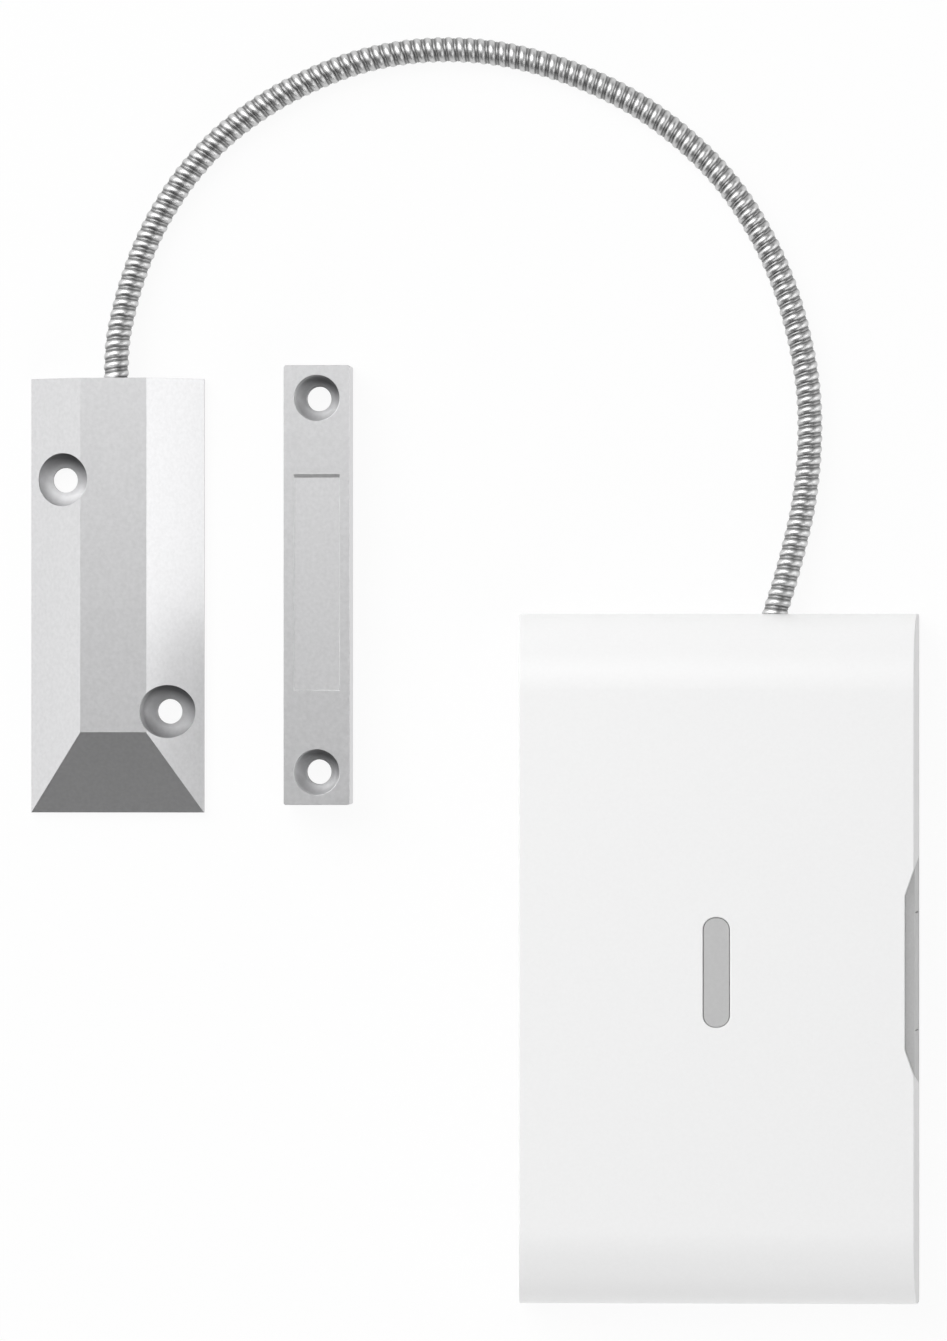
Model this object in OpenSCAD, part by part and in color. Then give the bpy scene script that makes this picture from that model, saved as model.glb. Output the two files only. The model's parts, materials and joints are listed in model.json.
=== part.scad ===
// Garage door switch: a wired magnetic contact and its magnet, joined by an armoured conduit
// to a battery transmitter. The set lies flat, faces up, as it does before it is mounted.
// Millimetres. X runs right, Y runs up the faces, Z runs out of the faces.
// The origin is on the surface, midway across and along the contact, magnet and case.

/* [Layout] */
// Clear gap between the contact and the magnet
contact_magnet_gap = 20; // [18:0.5:24]
// Clear gap between the magnet and the transmitter case
magnet_case_gap = 40.5; // [34:0.5:44]
// Height of the magnet's upper end above the case's upper end
magnet_rise = 60; // [57:0.5:63]
// Drop of the contact's middle below the magnet's middle
contact_drop = 2.5; // [0:0.5:4]

/* [Contact housing] */
// Length of the contact
contact_len = 105; // [102:0.5:110]
// Width of the contact at its base
contact_w = 42; // [40:0.5:46]
// Height of the contact's ridge
contact_h = 15; // [14:0.5:18]
// Width of the flat along the ridge
ridge_w = 16; // [12:0.5:18]
// Height of the low upright edge round the base
contact_edge_h = 2.2; // [1.6:0.1:3]
// Length, seen from above, of the sloping lower end
wedge_run = 19.5; // [14:0.5:22]
// Width of the slot that holds the reed
slot_w = 10; // [9.5:0.5:10.5]
// Metal between the slot and the wedge
slot_end_t = 5; // [4:0.5:8]
// Metal left above the slot
contact_roof_t = 2.5; // [1.5:0.1:3.5]
// Diameter of the contact's screw holes
contact_screw_d = 6; // [4:0.1:7]
// Diameter of the dished seats round the contact's screw holes
contact_seat_d = 12.8; // [10:0.1:13.2]
// Distance of the contact's screw holes from its centre line
contact_screw_x = 12.7; // [12.5:0.1:14]
// Distance of the contact's screw holes from its ends
contact_screw_end = 24.5; // [24:0.5:32]
// Metal under each of the contact's screw heads
contact_floor_t = 2; // [1.5:0.1:3]
// Rise of the dished seat from its hole to its wall
contact_dish = 2.6; // [1:0.1:3]
// Thickness of the plate that closes the slot
slot_cover_t = 1.2; // [0.8:0.1:2]
// Width of the ledge that the slot's plate rests on
slot_cover_lip = 2.5; // [1.5:0.1:3]

/* [Reed] */
// Length of the reed's glass
reed_len = 20; // [16:0.5:22]
// Diameter of the reed's glass
reed_d = 2.8; // [2.4:0.1:3.2]
// Diameter of the reed's leads
reed_lead_d = 0.6; // [0.4:0.05:0.7]
// Thickness of the reed's blades
blade_t = 0.2; // [0.1:0.02:0.24]
// Width of the reed's blades
blade_w = 1.1; // [0.8:0.1:1.3]
// Gap between the overlapping blades
blade_gap = 0.1; // [0.06:0.01:0.14]
// Height of the reed's axis
reed_z = 5.2; // [4.8:0.1:6]

/* [Magnet] */
// Length of the magnet's housing
magnet_len = 106; // [103:0.5:109]
// Width of the magnet's housing
magnet_w = 16; // [15:0.5:18]
// Height of the magnet's housing
magnet_h = 13; // [12:0.5:16]
// Distance of the magnet's screw holes from its ends
magnet_screw_end = 7.9; // [7:0.1:10]
// Diameter of the magnet's screw holes
magnet_screw_d = 6; // [4:0.1:6.5]
// Diameter of the counterbores over the magnet's screw holes
magnet_seat_d = 11; // [9:0.5:12]
// Metal under each of the magnet's screw heads
magnet_floor_t = 4; // [3:0.5:8]
// Rise of the magnet's dished seats from their holes to their walls
magnet_dish = 2.4; // [1:0.1:3]
// Width of the shallow panel in the magnet's face
panel_w = 11; // [8:0.5:12]
// Length of the shallow panel in the magnet's face
panel_len = 52; // [40:1:56]
// Depth of the panel at its upper end
panel_deep = 0.5; // [0.4:0.05:1]
// Depth of the panel at its lower end
panel_shallow = 0.2; // [0.1:0.05:0.3]
// Rise of the panel's middle above the middle of the housing
panel_rise = 0.6; // [0:0.1:2]
// Width, seen from above, of the slope at the panel's upper end
panel_slope = 0.6; // [0.3:0.05:1]
// Length of the bar magnet
bar_len = 50; // [40:1:56]
// Width of the bar magnet
bar_w = 10; // [8:0.5:11]
// Thickness of the bar magnet
bar_t = 8; // [6:0.5:9]
// Thickness of the magnet's back plate
magnet_plate_t = 1.2; // [0.8:0.1:1.6]

/* [Case] */
// Width of the case at its base
case_w = 96.5; // [95:0.5:104]
// Length of the case
case_len = 166; // [163:0.5:174]
// Height of the case
case_h = 28.5; // [27.5:0.5:34]
// Wall of the cover
case_wall = 2.2; // [1.8:0.1:2.4]
// Radius of the cover's rounded upper and lower ends
case_end_r = 18; // [12:0.5:20]
// Lean of each long side from base to face
case_draft = 1; // [0.6:0.1:2.4]
// Thickness of the back plate
plate_t = 3; // [2.4:0.1:3.6]
// Open seam between the back plate and the cover
seam = 0.2; // [0.1:0.05:0.4]
// Height of the rim that locates the cover
rim_h = 3; // [2:0.5:5]
// Thickness of the rim that locates the cover
rim_t = 1.5; // [1:0.1:2]
// Diameter of the holes for the wall screws
wall_screw_d = 4.4; // [3.5:0.1:5]
// Distance of the wall screws from the case's sides
wall_screw_side = 8.5; // [7.5:0.5:10]
// Distance of the wall screws from the case's ends
wall_screw_end = 9; // [8:0.5:12]

/* [Light bar and latch] */
// Width of the light bar
lens_w = 6.1; // [4:0.1:7]
// Length of the light bar
lens_len = 26; // [20:0.5:30]
// Corner radius of the light bar
lens_r = 2.8; // [1:0.1:2.9]
// Drop of the light bar and of the latch below the middle of the case
feature_drop = 2.8; // [0:0.1:3.4]
// Length of the latch opening at its inner edge
latch_inner_len = 36.8; // [32:0.2:40]
// Length of the latch opening at the edge of the face
latch_outer_len = 49.4; // [44:0.2:52]
// Depth of the latch opening from the edge of the face
latch_depth = 2.2; // [1.8:0.1:2.4]
// Length of the latch's thumb pad
latch_pad_len = 28; // [24:0.5:30]
// Height of the thumb pad's upper edge
latch_pad_top = 20; // [16:0.5:21]
// Diameter of the latch's pin
latch_pin_d = 2; // [1.6:0.1:2.4]
// Height of the latch's pin
latch_pin_z = 6.5; // [6:0.1:7]

/* [Conduit and cable] */
// Outer diameter of the armoured conduit
conduit_d = 6; // [5.6:0.1:6.2]
// Diameter of the conduit in its grooves
conduit_root_d = 5.2; // [5:0.1:5.4]
// Diameter of the conduit's bore
conduit_bore_d = 4.4; // [4.2:0.1:4.6]
// Number of ribs along the conduit
conduit_ribs = 136; // [80:1:190]
// Diameter of the signal cable
cable_d = 3; // [2.6:0.1:3.2]
// Diameter of one insulated core
core_d = 0.9; // [0.7:0.1:1]
// Thickness of the flange on each end bushing
bushing_flange_t = 1; // [0.8:0.1:1.4]
// Length of each end bushing's sleeve
bushing_sleeve = 4; // [2:0.5:6]
// Length of the conduit clamp along the conduit
clamp_len = 5; // [4:0.5:6]
// Width of the conduit clamp
clamp_w = 18; // [17:0.5:22]

/* [Electronics] */
// Width of the main board
board_w = 72; // [70:1:74]
// Length of the case beyond the main board's two ends
board_end_gap = 90; // [88:1:92]
// Thickness of the main board
board_t = 1.6; // [1:0.1:2]
// Height of the posts under the main board
board_post_h = 5; // [4:0.5:6]
// Inset of the board's screws from its corners
board_screw_inset = 4; // [3.5:0.1:5]
// Diameter of one battery cell
cell_d = 14.5; // [14:0.1:14.8]
// Length of one battery cell
cell_len = 50.5; // [48:0.5:52]
// Thickness of the battery holder's walls
holder_wall = 1.6; // [1.2:0.1:2]
// Room for the spring at one end of a cell
spring_room = 4; // [3:0.5:5]

/* [Clearances] */
// Clearance between pieces that sit in each other
fit = 0.15; // [0.1:0.05:0.2]
// Clearance round pieces that move
run = 0.3; // [0.2:0.05:0.4]

/* [Hidden] */

// Places of the three units
span_x = contact_w + contact_magnet_gap + magnet_w + magnet_case_gap + case_w;
span_y = case_len + magnet_rise;
magnet_at = [-span_x / 2 + contact_w + contact_magnet_gap + magnet_w / 2,
             span_y / 2 - magnet_len / 2];
contact_at = [-span_x / 2 + contact_w / 2, magnet_at.y - contact_drop];
case_at = [span_x / 2 - case_w / 2, -span_y / 2 + case_len / 2];

// Where the conduit starts in the contact and ends in the case
conduit_grip = 9.5;
conduit_start_z = 6;
entry_side = 12;
entry_depth = 19.5;
conduit_end_z = 6.2;
conduit_start = [contact_at.x, contact_at.y + contact_len / 2 - conduit_grip, conduit_start_z];
conduit_end = [case_at.x + entry_side, case_at.y + case_len / 2 - entry_depth, conduit_end_z];

// Centre line of the conduit as it lies, from the contact over to the case
lie = [
    [-86.5, 100.5, 6], [-86.5, 106.5, 6], [-86.5, 112.5, 6], [-86.2, 118.5, 5.7], [-85.2, 124.5, 5],
    [-83.2, 132.5, 4], [-80, 141.5, 3.3], [-75.5, 150.5, 3.1], [-69, 160, 3.1],
    [-60.5, 169, 3.1], [-50, 176.7, 3.1], [-38.5, 182.7, 3.1], [-26, 187.1, 3.1],
    [-12.5, 189.3, 3.1], [1.5, 189.1, 3.1], [15, 186.5, 3.1], [28, 181.9, 3.1],
    [40, 175.7, 3.1], [51, 167.5, 3.1], [60.5, 157.9, 3.1], [68.3, 146.5, 3.1],
    [74.3, 134, 3.1], [78.4, 120.5, 3.1], [80.8, 106.5, 3.1], [81, 92.5, 3.1],
    [79.6, 79.5, 3.3], [77.3, 69, 4.2], [74.9, 60, 5.4], [72.6, 52.5, 6.1],
    [71.25, 45.5, 6.2], [71.25, 39.5, 6.2], [71.25, 33.5, 6.2]
];
// The same line with both its ends held to where they belong, if a unit moves
held_points = 3;
function ease(t) = t * t * (3 - 2 * t);
function far_share(i) = ease(min(max((i - held_points) / (len(lie) - 1 - 2 * held_points), 0), 1));
route = [for (i = [0:len(lie) - 1]) let (w = far_share(i))
    lie[i] + (1 - w) * (conduit_start - lie[0]) + w * (conduit_end - lie[len(lie) - 1])];
// The cable runs on past both ends of the conduit
cable_tail = 10;
case_tail = 5.5;
cable_route = concat([conduit_start - [0, cable_tail, 0]], route, [conduit_end - [0, case_tail, 0]]);
route_steps = 6;
conduit_sides = 8;
bore_step = 5;

// Sizes worked out from the driving ones
contact_bore_x = conduit_start.x - contact_at.x;
contact_bore_z = conduit_start.z;
shoulder_y = conduit_start.y - contact_at.y - bushing_flange_t;
contact_neck = 4;
slot_y1 = shoulder_y - contact_neck;
slot_y0 = -contact_len / 2 + wedge_run + slot_end_t;
slot_top = contact_h - contact_roof_t;
slot_cover_w = slot_w + 2 * slot_cover_lip;
contact_screw_y = contact_len / 2 - contact_screw_end;
magnet_screw_pitch = magnet_len - 2 * magnet_screw_end;
potting_len = 3.5;
carrier_h = reed_z - 0.2;
carrier_y1 = slot_y1 - potting_len - 3;
reed_seal = 2.5;
reed_cavity_d = reed_d - 0.9;
reed_tail = 10;
blade_overlap = 2;
blade_clear = 0.2;
magnet_seat_clear = 1.4;

// The lean of the case's long sides, as a half width at any height
function case_half(z) = case_w / 2 - case_draft * (z - plate_t) / (case_h - plate_t);
cover_z0 = plate_t + seam;
roof_z = case_h - case_wall;
face_half = case_w / 2 - case_draft;
entry_x = conduit_end.x - case_at.x;
entry_y = conduit_end.y - case_at.y;
entry_z = conduit_end.z;
// Where the conduit crosses the case's upper wall
notch_x = entry_x + 1.7;
notch_r = conduit_d / 2 + 1;
clamp_y = entry_y + 1 + clamp_len / 2;
clamp_screw_x = clamp_w / 2 - 2.5;
clamp_split = 0.3;
clamp_h = 5;
clamp_screw_d = 2.4;
clamp_head_d = 4.4;
clamp_head_t = 1.4;
groove_r = conduit_d / 2 + fit;

wall_screw_x = case_w - 2 * wall_screw_side;
wall_screw_y = case_len - 2 * wall_screw_end;
board_len = case_len - board_end_gap;
board_drop = 31;
board_side = 3;
board_at = [-board_side, case_len / 2 - board_len / 2 - board_drop];
board_z = plate_t + board_post_h;
board_top = board_z + board_t;
board_screw_d = 2.2;
board_head_d = 5;
board_head_t = 1.6;
post_r = 3;

latch_inner_x = face_half - latch_depth;
latch_slope = (latch_outer_len - latch_inner_len) / 2 / latch_depth;
latch_barrel_r = latch_pin_d / 2 + 1;
latch_pin_x = latch_inner_x - latch_barrel_r - 0.6;
latch_pad_x = latch_inner_x - 0.1;
latch_flange_t = 1.7;
latch_flange_x = latch_inner_x - 0.5;
latch_flange_lip = 2.5;
latch_ear_t = 2.5;
latch_barrel_len = latch_pad_len - 4;
latch_spring_gap = 5.4;
latch_spring_leg = 3.5;
latch_wire = 0.5;
bezel_top = roof_z - 0.1;
bezel_fall = 1.6;

cell_z = plate_t + holder_wall + cell_d / 2 + fit;
cell_gap = 1.5;
holder_inner_len = cell_len + spring_room + 1;
holder_w = 2 * cell_d + cell_gap + 2 * holder_wall + 1;
holder_rise = 29;
holder_side = 4;
holder_at = [-holder_side, -case_len / 2 + holder_rise];
holder_h = 12;
holder_ear = 8;
cell_row = (cell_d + cell_gap) / 2;
tab_t = 0.5;
cell_shift = holder_inner_len / 2 - tab_t - 0.1 - cell_len / 2;

switch_side = 27;
tamper_rise = 20;
pairing_rise = 4;
tamper_at = board_at + [switch_side, tamper_rise];
pairing_at = board_at + [switch_side, pairing_rise];
switch_w = 6;
tamper_switch_h = 5;
pairing_h = 3.5;
button_d = 3.5;
button_floor = 1.5;
plunger_d = 3;
plunger_top = 18;
plunger_foot = board_top + 2.4;
switch_floor = 0.8;
plunger_clear = 0.2;
post_d = 5;
terminal_side = 9;
terminal_end = 8;
terminal_at = board_at + [terminal_side, board_len / 2 - terminal_end];
terminal_pitch = 5;
terminal_poles = 4;
terminal_w = terminal_pitch * terminal_poles + 0.5;
terminal_d = 8;
terminal_h = 10;
terminal_well = 4;
radio_w = 18;
radio_len = 24;
radio_side = 21;
radio_end = 20;
radio_at = board_at + [-radio_side, board_len / 2 - radio_end];
core_reach = 0.7;
core_start = 0.35;
led_h = 1.2;
led_top = board_top + led_h;
chip_side = 23;
chip_drop = 14;
chip_at = board_at - [chip_side, chip_drop];
capacitor_side = 19;
capacitor_end = 16;
capacitor_at = board_at + [capacitor_side, -board_len / 2 + capacitor_end];

// Small amounts used throughout: a cut past a face, a snug seat and a hair's breadth
over = 1;
snug = 0.02;
hair = 0.05;

$fn = 48;

// Unit vector along v
function unit(v) = v / norm(v);

// Smooth curve through the points: each stretch is a cubic set by its neighbours
function smooth(p, steps) = [
    for (i = [0:len(p) - 2])
        let (
            b = p[i],
            c = p[i + 1],
            a = i == 0 ? 2 * b - c : p[i - 1],
            d = i == len(p) - 2 ? 2 * c - b : p[i + 2]
        )
        for (k = [0:steps - 1])
            let (t = k / steps)
            (2 * b + (c - a) * t + (2 * a - 5 * b + 4 * c - d) * t ^ 2
                + (3 * b - a - 3 * c + d) * t ^ 3) / 2,
    p[len(p) - 1]
];

// Running length at each point of a line
function run_lengths(p) = [
    for (i = 0, s = 0; i < len(p); s = s + (i + 1 < len(p) ? norm(p[i + 1] - p[i]) : 0), i = i + 1) s
];

// Tables of place against running length, one for each axis
function tables(p) = let (s = run_lengths(p))
    [for (k = [0:2]) [for (i = [0:len(p) - 1]) [s[i], p[i][k]]]];
function place(table, s) = [for (k = [0:2]) lookup(s, table[k])];
function heading(table, s, total) =
    unit(place(table, min(s + 0.5, total)) - place(table, max(s - 0.5, 0)));

// Ring of points round a place, square to the heading
function ring(at, along, up, r, sides) =
    let (side = unit(cross(along, up)), rise = cross(side, along))
    [for (k = [0:sides - 1]) let (a = 360 * (k + 0.5) / sides) at + r * (cos(a) * side + sin(a) * rise)];

// Triangles that join ring after ring of points, counted from a first index
function skin(rings, sides, first, out) = [
    for (i = [0:rings - 2], k = [0:sides - 1], half = [0, 1])
        let (
            a = first + i * sides + k,
            b = first + i * sides + (k + 1) % sides,
            c = b + sides,
            d = a + sides,
            f = half == 0 ? [a, b, c] : [a, c, d]
        )
        out ? f : [f[2], f[1], f[0]]
];

// Triangles of a flat end, as a fan, and of a flat end with a hole in it
function fan(first, sides, out) = [
    for (k = [1:sides - 2]) out ? [first, first + k, first + k + 1] : [first + k + 1, first + k, first]
];
function washer(outer, inner, sides, out) = [
    for (k = [0:sides - 1], half = [0, 1])
        let (
            n = (k + 1) % sides,
            f = half == 0 ? [outer + k, outer + n, inner + n] : [outer + k, inner + n, inner + k]
        )
        out ? f : [f[2], f[1], f[0]]
];

// Headings at the points of a line
function headings(p) = [
    for (i = [0:len(p) - 1]) unit(p[min(i + 1, len(p) - 1)] - p[max(i - 1, 0)])
];

// Solid round cord along a line of points
module cord(p, r, sides = 8, up = [0, 0, 1]) {
    h = headings(p);
    n = len(p);
    points = [for (i = [0:n - 1]) each ring(p[i], h[i], up, r, sides)];
    polyhedron(points, concat(
        skin(n, sides, 0, true),
        fan(0, sides, false),
        fan((n - 1) * sides, sides, true)
    ));
}

// Rectangle with round corners, centred
module round_rect(w, l, r) {
    square([w - 2 * r, l], center = true);
    square([w, l - 2 * r], center = true);
    for (x = [-1, 1], y = [-1, 1])
        translate([x * (w / 2 - r), y * (l / 2 - r)]) circle(r);
}

// Plate lying between two heights
module slab(z0, z1) {
    translate([0, 0, z0]) linear_extrude(z1 - z0) children();
}

// Block between two corners
module block(low, high) {
    translate(low) cube(high - low);
}

// Cylinder that lies along Y, from one y to another
module rod_y(x, z, r, y0, y1) {
    translate([x, y0, z]) rotate([-90, 0, 0]) cylinder(r = r, h = y1 - y0);
}

module at_contact() { translate([contact_at.x, contact_at.y, 0]) children(); }
module at_magnet() { translate([magnet_at.x, magnet_at.y, 0]) children(); }
module at_case() { translate([case_at.x, case_at.y, 0]) children(); }

// Room for a dished seat: from the hole its floor rises in a quarter ellipse to an upright wall
module dished_seat(hole_r, seat_r, rise, height) {
    steps = 8;
    dish = [for (i = [1:steps]) let (a = 90 * i / steps)
        [hole_r + (seat_r - hole_r) * sin(a), rise * (1 - cos(a))]];
    rotate_extrude($fn = 64)
        polygon(concat([[0, 0], [hole_r, 0]], dish, [[seat_r, height], [0, height]]));
}

// Die-cast body: a ridge between two slopes, ended by a wedge below and a square face above
module contact_housing() {
    half_w = contact_w / 2;
    half_l = contact_len / 2;
    color("silver") at_contact() difference() {
        intersection() {
            translate([0, half_l, 0]) rotate([90, 0, 0]) linear_extrude(contact_len)
                polygon([[-half_w, 0], [half_w, 0], [half_w, contact_edge_h], [ridge_w / 2, contact_h],
                         [-ridge_w / 2, contact_h], [-half_w, contact_edge_h]]);
            translate([-half_w, 0, 0]) rotate([90, 0, 90]) linear_extrude(contact_w)
                polygon([[-half_l, 0], [half_l, 0], [half_l, contact_h],
                         [-half_l + wedge_run, contact_h], [-half_l, contact_edge_h]]);
        }
        for (side = [-1, 1]) translate([side * contact_screw_x, -side * contact_screw_y, 0]) {
            translate([0, 0, -over]) cylinder(d = contact_screw_d, h = contact_h);
            translate([0, 0, contact_floor_t])
                dished_seat(contact_screw_d / 2, contact_seat_d / 2, contact_dish, contact_h);
        }
        block([-slot_w / 2, slot_y0, -over], [slot_w / 2, slot_y1, slot_top]);
        block([-slot_cover_w / 2, slot_y0 - slot_cover_lip, -over],
              [slot_cover_w / 2, slot_y1 + slot_cover_lip, slot_cover_t]);
        rod_y(contact_bore_x, contact_bore_z, conduit_d / 2 + fit, shoulder_y, half_l + over);
        rod_y(contact_bore_x, contact_bore_z, cable_d / 2 + fit, slot_y1 - over, shoulder_y + over);
    }
}

// Plate that closes the slot, flush with the base
module slot_cover() {
    color("silver") at_contact()
        block([-slot_cover_w / 2 + fit, slot_y0 - slot_cover_lip + fit, 0],
              [slot_cover_w / 2 - fit, slot_y1 + slot_cover_lip - fit, slot_cover_t]);
}

// Moulded carrier that beds the reed in a groove
module reed_carrier() {
    color("ivory") at_contact() difference() {
        block([-slot_w / 2 + fit, slot_y0 + fit, slot_cover_t],
              [slot_w / 2 - fit, carrier_y1, carrier_h]);
        rod_y(0, reed_z, reed_d / 2 + fit, -reed_len / 2 - fit, reed_len / 2 + fit);
        rod_y(0, reed_z, reed_lead_d / 2 + fit, slot_y0, slot_y1);
        for (end = [[slot_y0, -reed_len / 2 - 1], [reed_len / 2 + 1, slot_y1]])
            block([-slot_w / 2, end[0], reed_z - reed_lead_d / 2 - 0.4],
                  [slot_w / 2, end[1], carrier_h + over]);
    }
}

// Sealed glass tube round the blades
module reed_capsule() {
    half = reed_len / 2;
    color("palegreen") at_contact() difference() {
        rod_y(0, reed_z, reed_d / 2, -half, half);
        rod_y(0, reed_z, reed_cavity_d / 2, -half + reed_seal, half - reed_seal);
        rod_y(0, reed_z, reed_lead_d / 2 + snug, -half - over, half + over);
    }
}

// Lower blade and its lead, one piece of flattened wire
module reed_blade_fixed() {
    root = -reed_len / 2 + reed_seal;
    color("goldenrod") at_contact() {
        rod_y(0, reed_z, reed_lead_d / 2, -reed_len / 2 - reed_tail, root + 0.6);
        block([-blade_w / 2, root + 0.1, reed_z - blade_gap / 2 - blade_t],
              [blade_w / 2, blade_overlap / 2, reed_z - blade_gap / 2]);
    }
}

// Upper blade, which springs away from the lower one when the magnet leaves
module reed_blade_moving() {
    root = reed_len / 2 - reed_seal - blade_clear;
    color("goldenrod") at_contact()
        block([-blade_w / 2, -blade_overlap / 2, reed_z + blade_gap / 2],
              [blade_w / 2, root, reed_z + blade_gap / 2 + blade_t]);
}

// Lead of the upper blade, sealed in the glass
module reed_lead() {
    color("goldenrod") at_contact()
        rod_y(0, reed_z, reed_lead_d / 2, reed_len / 2 - reed_seal, reed_len / 2 + reed_tail);
}

// Two cores from the cable to the reed's leads
module contact_leads() {
    y0 = conduit_start.y - cable_tail - contact_at.y - core_start;
    beside = reed_lead_d / 2 + core_d / 2 + 0.1;
    above = carrier_h + core_d / 2 + 0.1;
    far_x = -reed_d / 2 - core_d - 1.2;
    half = reed_len / 2;
    z = contact_bore_z;
    color("firebrick") at_contact() {
        cord(smooth([[core_reach, y0, z], [core_reach, y0 - 3, z], [beside + 0.4, half + 11, above + 0.3],
            [beside, half + 7, reed_z + 0.1], [beside, half + 3, reed_z]], 3), core_d / 2);
        cord(smooth([[-core_reach, y0, z], [-core_reach, y0 - 3, z], [far_x, half + 8, above + 0.1],
            [far_x, half, above], [far_x, 0, above], [far_x, -half + 2, above],
            [-beside - 1.4, -half - 1.5, above], [-beside, -half - 5, reed_z],
            [-beside, -half - 9, reed_z]], 3), core_d / 2);
    }
}

// Resin that grips the cable where it enters the slot
module cable_potting() {
    color("dimgray") at_contact() difference() {
        block([-slot_w / 2 + fit, slot_y1 - potting_len, slot_cover_t],
              [slot_w / 2 - fit, slot_y1, slot_top]);
        rod_y(contact_bore_x, contact_bore_z, cable_d / 2 + snug,
              slot_y1 - potting_len - over, slot_y1 + over);
    }
}

// Flanged bushing that keeps the conduit's cut edge off the cable
module end_bushing() {
    sleeve_r = conduit_bore_d / 2 * cos(180 / conduit_sides) - hair;
    color("white") difference() {
        union() {
            rod_y(0, 0, conduit_d / 2, -bushing_flange_t, 0);
            rod_y(0, 0, sleeve_r, -0.1, bushing_sleeve);
        }
        rod_y(0, 0, cable_d / 2 + hair, -bushing_flange_t - over, bushing_sleeve + over);
    }
}
module contact_end_bushing() { translate(conduit_start) end_bushing(); }
module case_end_bushing() { translate(conduit_end) end_bushing(); }

// Ribbed steel conduit with its bore, as one tube swept along the route
module armoured_conduit() {
    line = smooth(route, route_steps);
    table = tables(line);
    lengths = run_lengths(line);
    total = lengths[len(lengths) - 1];
    pitch = total / conduit_ribs;
    up = [0, 0, 1];
    rings = 2 * conduit_ribs + 1;
    bores = ceil(total / bore_step);
    outside = [for (i = [0:rings - 1]) let (s = i * pitch / 2)
        each ring(place(table, s), heading(table, s, total), up,
            (i % 2 == 1 ? conduit_d : conduit_root_d) / 2, conduit_sides)];
    inside = [for (i = [0:bores]) let (s = i * total / bores)
        each ring(place(table, s), heading(table, s, total), up, conduit_bore_d / 2, conduit_sides)];
    bore_first = rings * conduit_sides;
    echo(conduit_length = total, rib_pitch = pitch, open_groove = pitch / 2);
    color("darkgray") polyhedron(concat(outside, inside), concat(
        skin(rings, conduit_sides, 0, true),
        skin(bores + 1, conduit_sides, bore_first, false),
        washer(0, bore_first, conduit_sides, false),
        washer((rings - 1) * conduit_sides, bore_first + bores * conduit_sides, conduit_sides, true)
    ));
}

// Two-core cable inside the conduit
module signal_cable() {
    color("gainsboro") cord(smooth(cable_route, 2), cable_d / 2);
}

// Half-round cap that holds the conduit down on its cradle
module conduit_clamp() {
    low = entry_z + clamp_split;
    color("gainsboro") at_case() difference() {
        block([entry_x - clamp_w / 2, clamp_y - clamp_len / 2, low],
              [entry_x + clamp_w / 2, clamp_y + clamp_len / 2, low + clamp_h]);
        rod_y(entry_x, entry_z, groove_r, clamp_y - clamp_len, clamp_y + clamp_len);
        for (side = [-1, 1]) translate([entry_x + side * clamp_screw_x, clamp_y, 0])
            cylinder(d = clamp_screw_d + 2 * fit, h = case_h);
    }
}

// Two screws through the clamp
module clamp_screws() {
    top = entry_z + clamp_split + clamp_h;
    color("silver") at_case() for (side = [-1, 1])
        translate([entry_x + side * clamp_screw_x, clamp_y, 0])
            screw(clamp_screw_d, clamp_head_d, clamp_head_t, plate_t, top);
}

// Pan-head screw from the tip of its shank up, with a cross slot in its head
module screw(shank_d, head_d, head_t, tip_z, seat_z) {
    slot_t = shank_d / 4;
    translate([0, 0, tip_z]) cylinder(d = shank_d, h = seat_z - tip_z + 0.1);
    difference() {
        translate([0, 0, seat_z]) cylinder(d = head_d, h = head_t);
        for (turn = [0, 90]) rotate(turn)
            translate([-head_d / 3, -slot_t / 2, seat_z + head_t / 2])
                cube([head_d * 2 / 3, slot_t, head_t]);
    }
}

// Moulded bar with two counterbored screw holes and a shallow sloping panel
module magnet_housing() {
    corner = 0.6;
    color("lightgray") at_magnet() difference() {
        slab(0, magnet_h) round_rect(magnet_w, magnet_len, corner);
        for (end = [-1, 1]) translate([0, end * magnet_screw_pitch / 2, 0]) {
            translate([0, 0, -over]) cylinder(d = magnet_screw_d, h = magnet_h + 2 * over);
            translate([0, 0, magnet_floor_t])
                dished_seat(magnet_screw_d / 2, magnet_seat_d / 2, magnet_dish, magnet_h);
        }
        translate([-panel_w / 2, panel_rise - panel_len / 2, 0])
            rotate([90, 0, 90]) linear_extrude(panel_w)
            polygon([[0, magnet_h + over], [0, magnet_h - panel_shallow],
                     [panel_len - panel_slope, magnet_h - panel_deep],
                     [panel_len + panel_slope * over / panel_deep, magnet_h + over]]);
        block([-bar_w / 2 - fit, -bar_len / 2 - fit, -over],
              [bar_w / 2 + fit, bar_len / 2 + fit, magnet_plate_t + bar_t + fit]);
        block([-bar_w / 2 - magnet_seat_clear, -bar_len / 2 - magnet_seat_clear, -over],
              [bar_w / 2 + magnet_seat_clear, bar_len / 2 + magnet_seat_clear, magnet_plate_t]);
    }
}

// Bar magnet in the pocket behind the panel
module bar_magnet() {
    color("dimgray") at_magnet()
        block([-bar_w / 2, -bar_len / 2, magnet_plate_t],
              [bar_w / 2, bar_len / 2, magnet_plate_t + bar_t]);
}

// Plate that closes the magnet's pocket, flush with the base
module magnet_back_plate() {
    w = bar_w + 2 * magnet_seat_clear - 2 * fit;
    l = bar_len + 2 * magnet_seat_clear - 2 * fit;
    color("gray") at_magnet() block([-w / 2, -l / 2, 0], [w / 2, l / 2, magnet_plate_t]);
}

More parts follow.
